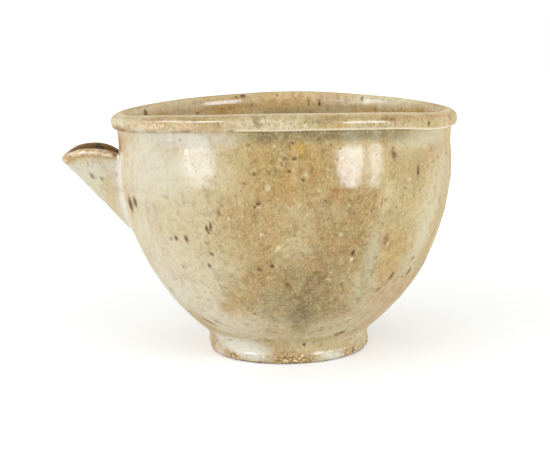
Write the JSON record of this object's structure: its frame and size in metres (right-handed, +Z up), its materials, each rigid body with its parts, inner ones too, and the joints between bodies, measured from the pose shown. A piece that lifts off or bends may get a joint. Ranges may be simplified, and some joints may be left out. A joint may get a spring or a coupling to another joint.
{
  "type": "katakuchi pouring bowl",
  "caption": "Round footed stoneware pouring bowl with a rolled rim and an open trough spout luted on under the rim; liquid runs through a pierced hole into the spout.",
  "frame": {"origin": "centre of the foot ring's resting face", "axes": "+Z up through the mouth, spout towards -X, +Y across the bowl"},
  "size_m": [0.1385, 0.12, 0.0875],
  "materials": {
    "glaze": "glossy ash glaze over stoneware, mottled tan and cream with iron spots",
    "foot_clay": "fired brown stoneware, glazed on the sides and bare at the resting edge"
  },
  "bodies": {
    "root": {"bowl": "glaze", "rim_band": "glaze", "foot_ring": "foot_clay", "foot_seam": "glaze", "spout": "glaze", "spout_seam": "glaze"}
  },
  "joints": []
}
